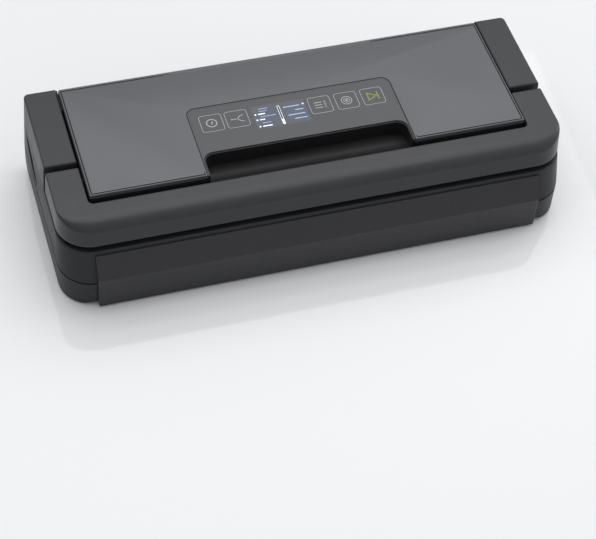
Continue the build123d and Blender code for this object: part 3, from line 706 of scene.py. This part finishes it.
# ------------------------------------------------------------------ lid plate
def make_lid_plate():
    """Coated plate with a notch for the control panel. One outline is worked out at each inset, every
    corner keeping its centre while its radius shrinks or grows, and the outlines are stacked: up the
    side, over a round edge, into a fine groove, and flat across. The round edge's radius is 0.6 mm on
    the front and sides and 3 mm on the rear. The groove's walls and floor take a dark material, painted
    shade, and the groove stops at the notch, so that none runs round the panel."""
    low, high = millimetres("lid_plate")
    left, right, front, back, bottom, top = low[0], high[0], low[1], high[1], low[2], high[2]
    panel_high = millimetres("control_panel")[1]
    notch, notch_back, notch_corner, corner = panel_high[0] + 0.3, panel_high[1] + 0.3, 7.0, 1.5
    edge = np.linspace(0, 1, 24)[1:-1, None]
    count = 10

    def run(start, end):
        return np.array(start) + (np.array(end) - np.array(start)) * edge

    def bend(x, y, across, along, start, end):
        turn = np.radians(np.linspace(start, end, count))
        return np.column_stack([x + across * np.cos(turn), y + along * np.sin(turn)])

    def outline(side, rear_side):
        """The plate's plan edge, drawn in by side, and by rear_side along its rear edge."""
        x_left, x_right, y_front, y_back = left + side, right - side, front + side, back - rear_side
        across, along = max(corner - side, 0.05), max(corner - rear_side, 0.05)
        x_notch, y_notch, grown = notch + side, notch_back + side, notch_corner + side
        return np.concatenate([
            [[x_notch, y_front]], run((x_notch, y_front), (x_right, y_front)), [[x_right, y_front]],
            run((x_right, y_front), (x_right, y_back - along)),
            bend(x_right - across, y_back - along, across, along, 0, 90),
            run((x_right - across, y_back), (x_left + across, y_back)),
            bend(x_left + across, y_back - along, across, along, 90, 180),
            run((x_left, y_back - along), (x_left, y_front)), [[x_left, y_front]],
            run((x_left, y_front), (-x_notch, y_front)), [[-x_notch, y_front]],
            run((-x_notch, y_front), (-x_notch, y_notch - grown)),
            bend(-x_notch + grown, y_notch - grown, grown, grown, 180, 90),
            run((-x_notch + grown, y_notch), (x_notch - grown, y_notch)),
            bend(x_notch - grown, y_notch - grown, grown, grown, 90, 0),
            run((x_notch, y_notch - grown), (x_notch, y_front)),
        ])

    side_round, rear_round = 0.6, 3.0
    levels = [(0, 0, bottom), (0, 0, top - rear_round)]
    for angle in np.linspace(0, math.pi / 2, 11):
        sine, cosine = math.sin(angle), 1 - math.cos(angle)
        levels.append((side_round * cosine, rear_round * cosine, top - rear_round * (1 - sine)))
    for across, depth in ((0.45, 0), (0.5, 0.05), (0.55, 0.9), (1.25, 0.9), (1.3, 0.05), (1.4, 0)):
        levels.append((side_round + across, rear_round + across, top - depth))
    rings = []
    for side, rear_side, height in levels:
        plan = outline(side, rear_side)
        flat = np.full(len(plan), height)
        if bottom < height < top and side < side_round:
            share = smoothstep((plan[:, 1] - (back - corner - 5)) / 5)
            steep = top - side_round * (1 - np.sqrt(max(0.0, 1 - (1 - side / side_round) ** 2)))
            flat = steep + (height - steep) * share
        outer_side = (np.abs(plan[:, 0]) > notch + 2.6) | (plan[:, 1] < front + 2.6)
        flat = np.where(outer_side | (side <= side_round), flat, top)
        rings.append(np.column_stack([plan, flat]))
    points = np.stack(rings, axis=0)
    total = points.shape[1]
    faces = [face[::-1] for face in grid_faces(len(rings), total, close_columns=True)]
    faces += [list(range(total))[::-1], list(range((len(rings) - 1) * total, len(rings) * total))]
    plate = make_piece("lid_plate_skin", points.reshape(-1, 3) * MM, faces, lid_coat, "lid", "lid_coat",
                       sharp=50, replaces=("lid_plate",))
    # painted shade: the groove's walls and floor get the dark material, except by the notch
    plate.data.materials.append(seam_shade)
    finish = np.zeros(len(faces), np.int32)
    first = (len(rings) - 5) * total
    finish[first:first + 3 * total] = np.tile(outer_side, 3)
    plate.data.polygons.foreach_set("material_index", finish)
    return plate


make_lid_plate()


# ------------------------------------------------------------------ control panel marks
panel_low, panel_high = millimetres("control_panel")
panel_top = panel_high[2]
mark_low, mark_high = panel_top - 0.02, panel_top + 0.05
key_y = 14.4
key_half = 8.65
key_centres = (-65.2, -45.1, 21.4, 42.7, 63.9)


def circle(x, y, radius, count=36):
    return arc(x, y, radius, 0, 360, count + 1)[:-1]


def make_key_outlines():
    """A thin rounded square round each touch field."""
    heap = Heap()
    for x in key_centres:
        loop = rounded_loop(x - key_half, x + key_half, key_y - key_half, key_y + key_half, 2.2, 7)
        ribbon(heap, loop, 0.42, mark_low, mark_high, closed=True)
    return heap.piece("key_outlines", key_ink, "lid", "panel_plastic")


def make_key_icons():
    """Line icons: a pointer in a ring, a branching path, a list, and a target."""
    heap = Heap()
    x, y = key_centres[0], key_y
    ribbon(heap, circle(x, y, 3.9), 0.85, mark_low, mark_high, closed=True)
    slab(heap, [(x - 0.9, y - 1.3), (x + 0.1, y - 1.5), (x + 1.2, y + 1.5), (x + 0.5, y + 1.7)],
         mark_low, mark_high)
    x = key_centres[1]
    ribbon(heap, [(x - 5.2, y), (x + 0.4, y)], 0.7, mark_low, mark_high)
    fork = [(5.2, 3.4), (2.6, 2.6), (0.2, 0), (2.6, -2.6), (5.2, -3.4)]
    ribbon(heap, [(x + across, y + up) for across, up in fork], 0.7, mark_low, mark_high)
    x = key_centres[2]
    for step in (-2.8, 0.0, 2.8):
        ribbon(heap, [(x - 4.6, y + step), (x + 1.6, y + step)], 0.75, mark_low, mark_high)
        slab(heap, circle(x + 4.0, y + step, 0.75, 14), mark_low, mark_high)
    ribbon(heap, [(x + 4.0, y - 3.8), (x + 4.0, y + 3.8)], 0.35, mark_low, mark_high)
    x = key_centres[3]
    ribbon(heap, circle(x, y, 4.1), 0.6, mark_low, mark_high, closed=True)
    ribbon(heap, circle(x, y, 2.3), 0.5, mark_low, mark_high, closed=True)
    slab(heap, circle(x, y, 1.0, 20), mark_low, mark_high)
    return heap.piece("key_icons", key_ink, "lid", "panel_plastic")


def make_start_icon():
    """Triangle and bar of the start and stop key."""
    heap = Heap()
    x, y = key_centres[4], key_y
    triangle = [(x - 3.8, y - 3.8), (x + 3.0, y), (x - 3.8, y + 3.8)]
    ribbon(heap, triangle, 1.1, mark_low, mark_high, closed=True)
    block(heap, x + 3.6, x + 4.8, y - 4.0, y + 4.0, mark_low, mark_high)
    return heap.piece("start_icon", start_ink_painted_glow, "lid", "panel_plastic")


make_key_outlines()
make_key_icons()
make_start_icon()

window_low, window_high = millimetres("display_window")
glass_top = window_high[2]
lit_low, lit_high = glass_top - 0.02, glass_top + 0.04


def window_point(across, back):
    """A point of the window's face, from 0 to 1 across and from its front to its back."""
    size = window_high - window_low
    return window_low[0] + size[0] * across, window_low[1] + size[1] * back


def window_bar(heap, across, back, length, thickness):
    x, y = window_point(across, back)
    block(heap, x, x + length, y - thickness / 2, y + thickness / 2, lit_low, lit_high)


def make_display_marks():
    """Level marks at the left, a slim outlined gauge in the middle, and rows of bars at the right."""
    bright, faint = Heap(), Heap()
    for back, start, length in ((0.62, 0.05, 5.5), (0.38, 0.05, 4.0), (0.09, 0.06, 7.5)):
        x, y = window_point(start, back)
        slab(bright, circle(x, y, 0.7, 20), lit_low, lit_high)
        window_bar(bright, start + 0.05, back, length, 0.9)
    for back, start, length in ((0.84, 0.13, 7.5), (0.74, 0.13, 6.2), (0.50, 0.12, 12.5), (0.23, 0.13, 6.5)):
        window_bar(faint, start, back, length, 0.5)
    left, front = window_point(0.480, 0.04)
    right, back = window_point(0.520, 0.86)
    ribbon(bright, rounded_loop(left, right, front, back, 0.8, 5), 0.26, lit_low, lit_high, closed=True)
    block(bright, left + 0.3, right - 0.3, front + 0.4, front + 5.5, lit_low, lit_high)
    for row, start, length in ((0.74, 0.58, 13.2), (0.56, 0.78, 6.6), (0.37, 0.62, 13.6), (0.19, 0.72, 9.8)):
        window_bar(faint, start, row, length, 0.8)
    x, y = window_point(0.955, 0.77)
    slab(bright, circle(x, y, 0.7, 20), lit_low, lit_high)
    bright.piece("display_marks", lit_white, "lid", "display_glow")
    faint.piece("display_bars", lit_blue, "lid", "display_glow")


make_display_marks()


def panel_path(inset, corner, count, front):
    """Open path up the panel's right side, along its rear and down its left side, drawn in by inset."""
    left, right, back = panel_low[0] + inset, panel_high[0] - inset, panel_high[1] - inset
    return np.concatenate([[[right, front]], arc(right - corner, back - corner, corner, 0, 90, count),
                           arc(left + corner, back - corner, corner, 90, 180, count), [[left, front]]])


def make_panel_gap_shade():
    """Painted shade: a dark strip in the narrow gap between the panel and the lid plate."""
    heap = Heap()
    path = panel_path(-0.15, 6.85, 14, panel_low[1] + 0.3)
    ribbon(heap, path, 0.75, panel_top - 0.8, panel_top + 0.09)
    return heap.piece("panel_gap_shade", seam_shade, "lid", "panel_plastic")


def make_panel_line():
    """Fine raised line that follows the panel's rear and side edges, 1.2 mm in."""
    heap = Heap()
    ribbon(heap, panel_path(1.2, 5.5, 10, panel_low[1] + 1), 0.24, mark_low, panel_top + 0.06)
    return heap.piece("panel_line", panel_plastic, "lid", "panel_plastic")


make_panel_gap_shade()
make_panel_line()


# ------------------------------------------------------------------ finger recess lip
def make_recess_lip():
    """Curved strip on the recess floor, rising to the front: height 65 + 3.2 * t**2 as t goes from its
    rear edge to its front edge, with rounded ends."""
    low, high = millimetres("finger_recess")
    half, floor = high[0] - 1.4, 65.0
    front, back = low[1] + 0.3, low[1] + 11.0
    along = np.linspace(-half, half, 90)
    part = np.linspace(0, 1, 14)
    end = np.clip((half - np.abs(along)) / 9.0, 0, 1)
    swell = np.sqrt(1 - (1 - end) ** 2)
    y = back + (front - back) * part
    height = floor - 0.2 + (0.2 + 3.2 * part[None, :] ** 2) * swell[:, None]
    top = np.stack([np.repeat(along[:, None], 14, 1), np.repeat(y[None, :], 90, 0), height], -1)
    under = top.copy()
    under[:, :, 2] = floor - 0.3
    ring = np.concatenate([top, under[:, ::-1]], axis=1)
    faces = grid_faces(90, 28, close_columns=True)
    faces += [list(range(28))[::-1], list(range(89 * 28, 90 * 28))]
    return make_piece("recess_lip", ring.reshape(-1, 3) * MM, faces, recess_plastic, "lid", "recess_plastic")


make_recess_lip()


# ------------------------------------------------------------------ seals
def make_seal(node, name, body, upper):
    """Foam ring: a low half-round section carried round the chamber."""
    low, high = millimetres(node)
    width = 7.0
    half = width / 2
    path = rounded_loop(low[0] + half, high[0] - half, low[1] + half, high[1] - half, 7.5, 16)
    dense = []
    for start, end in zip(path, np.roll(path, -1, 0)):
        count = max(1, int(np.linalg.norm(end - start) / 4))
        dense.append(start + (end - start) * np.linspace(0, 1, count, endpoint=False)[:, None])
    path = np.concatenate(dense)
    rise = high[2] - low[2]
    angle = np.linspace(0, math.pi, 15)
    across = half * np.cos(angle)
    lift = rise * (0.35 + 0.65 * np.sin(angle) ** 0.6)
    lift[[0, -1]] = 0
    if upper:
        profile = np.column_stack([across[::-1], high[2] - lift[::-1]])
    else:
        profile = np.column_stack([across, low[2] + lift])
    heap = Heap()
    carried(heap, path, profile)
    return heap.piece(name, seal_foam, body, "seal_foam", replaces=(node,), sharp=50)


make_seal("lower_seal", "lower_foam_ring", "base", False)
make_seal("upper_seal", "upper_foam_ring", "lid", True)


# ------------------------------------------------------------------ screws, feet, and painted shade in the casing groove and the lid gap
def cross_recess(depth, arm, width):
    """Depth of a cross-shaped recess at a radius and angle."""
    def depth_at(radius, angle):
        x, y = np.abs(radius * np.cos(angle)), np.abs(radius * np.sin(angle))
        inside = (np.minimum(x, y) < width) & (np.maximum(x, y) < arm)
        return np.where(inside, depth * (1 - np.maximum(x, y) / (1.6 * arm)), 0)

    return depth_at


def screw_set(node, name, body, head, places, head_low, shank_low, shank_high):
    """Pan-head screws that point up: a shank with ridges for its thread, and a head with a cross recess."""
    heap = Heap()
    for x, y in places:
        thick = 1.1
        profile = [(0.02, 0.0)] + [(r, 0.0) for r in np.linspace(0.1, 0.6, 12) * head]
        profile += [(head * (0.75 + 0.25 * math.sin(a)), -0.35 + 0.35 * math.cos(a))
                    for a in np.linspace(0.2, math.pi / 2, 5)]
        profile += [(head, -thick), (0.02, -thick)]
        turned(heap, profile, (x, y, head_low), "-z", 48, cross_recess(0.9, head * 0.55, head * 0.13))
        turns = np.linspace(shank_low, shank_high, 37)
        radius = 1.28 + 0.2 * (np.arange(37) % 2)
        shank = [(0.02, shank_low)] + list(zip(radius, turns)) + [(0.02, shank_high)]
        turned(heap, shank, (x, y, 0), "z", 14)
    return heap.piece(name, plated_steel, body, "steel", replaces=(node,), sharp=30)


lid_screw_places = [(-163, -28), (163, -28), (-163, 20), (163, 20), (-100, 48), (0, 48), (100, 48)]
casing_screw_places = [(x, y) for x in (-178, 0, 178) for y in (-62, 62)]
low, high = millimetres("lid_screws")
screw_set("lid_screws", "lid_screw_set", "lid", 2.65, lid_screw_places, low[2] + 0.05,
          low[2] + 1.1, high[2])
low, high = millimetres("casing_screws")
screw_set("casing_screws", "casing_screw_set", "base", 3.1, casing_screw_places, low[2] + 1.0,
          low[2] + 2.0, high[2])


def make_feet():
    """Foot pads: a round pad with a soft edge and a ring-shaped groove in its sole, and a plug above it."""
    heap = Heap()
    for x in (-165, 165):
        for y in (-55, 48):
            profile = [(0.02, 0.45), (1.6, 0.45), (2.0, 0.3), (2.2, 0.02), (4.6, 0.0), (4.9, 0.3), (5.5, 0.3),
                       (5.8, 0.0), (7.4, 0.02), (7.8, 0.18), (8.0, 0.5), (8.0, 1.45), (2.95, 1.5),
                       (2.95, 3.6), (2.5, 4.0), (0.02, 4.0)]
            turned(heap, profile, (x, y, 0), "z", 48)
    return heap.piece("foot_pads", foot_rubber, "base", "foot_rubber", replaces=("rubber_feet",), sharp=30)


make_feet()


def make_casing_groove_shade():
    """Painted shade: a dark strip in the groove between the lower and the upper casing, its middle line
    0.9 mm inside the casing's side."""
    low, high = millimetres("upper_casing")
    bottom = millimetres("lower_casing")[1][2]
    left, right, front, back, inset = low[0], high[0], low[1], high[1], 0.9
    front_centre, rear_centre = front + front_corner, back - rear_corner
    wide, narrow = front_corner - inset, rear_corner - inset
    path = np.concatenate([
        arc(right - front_corner, front_centre, wide, 270, 360, 24),
        arc(right - rear_corner, rear_centre, narrow, 0, 90, 10),
        arc(left + rear_corner, rear_centre, narrow, 90, 180, 10),
        arc(left + front_corner, front_centre, wide, 180, 270, 24),
    ])
    heap = Heap()
    ribbon(heap, path, 0.8, bottom + 0.02, bottom + 2.15, closed=True)
    return heap.piece("casing_groove_shade", seam_shade, "base", "foot_rubber")


make_casing_groove_shade()


def make_lid_gap_shade():
    """Painted shade: dark blocks by the rear covers' inner faces, which close most of the gap beside the lid.
    """
    cover_low, cover_high = millimetres("right_rear_cover")
    lid_side = millimetres("lid_frame")[1][0]
    heap = Heap()
    for side in (-1, 1):
        outer, inner = side * (cover_low[0] - 0.02), side * (lid_side + 0.3)
        left, right = min(outer, inner), max(outer, inner)
        block(heap, left, right, cover_high[1] - 22, cover_high[1] - 0.4,
              cover_low[2] + 1.0, cover_high[2] - 1.7)
    return heap.piece("lid_gap_shade", seam_shade, "base", "foot_rubber")


make_lid_gap_shade()


# ------------------------------------------------------------------ stage, lights and camera
def pale_floor():
    """Near-white tabletop with a soft sheen and very faint unevenness."""
    material, graph, shader = start_material("pale tabletop")
    place = graph.place()
    cloud = graph.noise(place, 1.6, 2.0)
    graph.join(graph.blend(cloud, tone(233, 234, 236), tone(239, 240, 241)), shader.inputs["Base Color"])
    graph.join(graph.spread(cloud, 0.3, 0.7, 0.34, 0.42), shader.inputs["Roughness"])
    fill(shader, {"Coat Weight": 0.8, "Coat Roughness": 0.03})
    return material


def make_floor():
    """Flat tabletop five metres wide under the feet."""
    reach = 2.5
    mesh = bpy.data.meshes.new("tabletop")
    corners = [(-reach, -reach, 0), (reach, -reach, 0), (reach, reach, 0), (-reach, reach, 0)]
    mesh.from_pydata(corners, [], [(0, 1, 2, 3)])
    mesh.materials.append(pale_floor())
    floor = bpy.data.objects.new("tabletop", mesh)
    bpy.context.scene.collection.objects.link(floor)


def soft_light(name, position, target, size, power):
    """A square soft box that faces a point."""
    lamp = bpy.data.lights.new(name, "AREA")
    lamp.shape = "RECTANGLE"
    lamp.size, lamp.size_y = size
    lamp.energy = power
    holder = bpy.data.objects.new(name, lamp)
    holder.location = position
    holder.rotation_euler = (Vector(target) - Vector(position)).to_track_quat("-Z", "Y").to_euler()
    bpy.context.scene.collection.objects.link(holder)


def make_world():
    """Grey surroundings, darker on the left and brighter on the right and overhead."""
    world = bpy.data.worlds.new("studio")
    world.use_nodes = True
    graph = Graph(world.node_tree)
    back = world.node_tree.nodes["Background"]
    direction = graph.split(graph.add("ShaderNodeTexCoord").outputs["Generated"])
    side = graph.spread(direction["X"], -0.9, 0.9)
    graph.join(graph.blend(side, (0.46, 0.47, 0.48, 1.0), (0.86, 0.86, 0.86, 1.0)), back.inputs["Color"])
    back.inputs["Strength"].default_value = 0.85
    bpy.context.scene.world = world


def make_camera():
    lens = bpy.data.cameras.new("camera")
    lens.lens, lens.sensor_width, lens.sensor_fit = 110.2, 36.0, "HORIZONTAL"
    holder = bpy.data.objects.new("camera", lens)
    right, up = Vector((0.95687, -0.28473, 0.05774)), Vector((0.1825, 0.7437, 0.6431))
    right.normalize()
    up = (up - up.dot(right) * right).normalized()
    turn = Matrix((right, up, right.cross(up))).transposed()
    holder.matrix_world = Matrix.Translation((-0.3363, -0.9261, 1.0700)) @ turn.to_4x4()
    bpy.context.scene.collection.objects.link(holder)
    bpy.context.scene.camera = holder


make_floor()
make_world()
soft_light("overhead", (-0.05, 0.55, 1.6), (0, 0, 0.05), (2.2, 1.6), 17)
soft_light("right side", (1.5, 0.5, 0.9), (0, 0, 0.05), (1.2, 1.2), 6)
make_camera()
bpy.context.scene.view_settings.view_transform = "Standard"
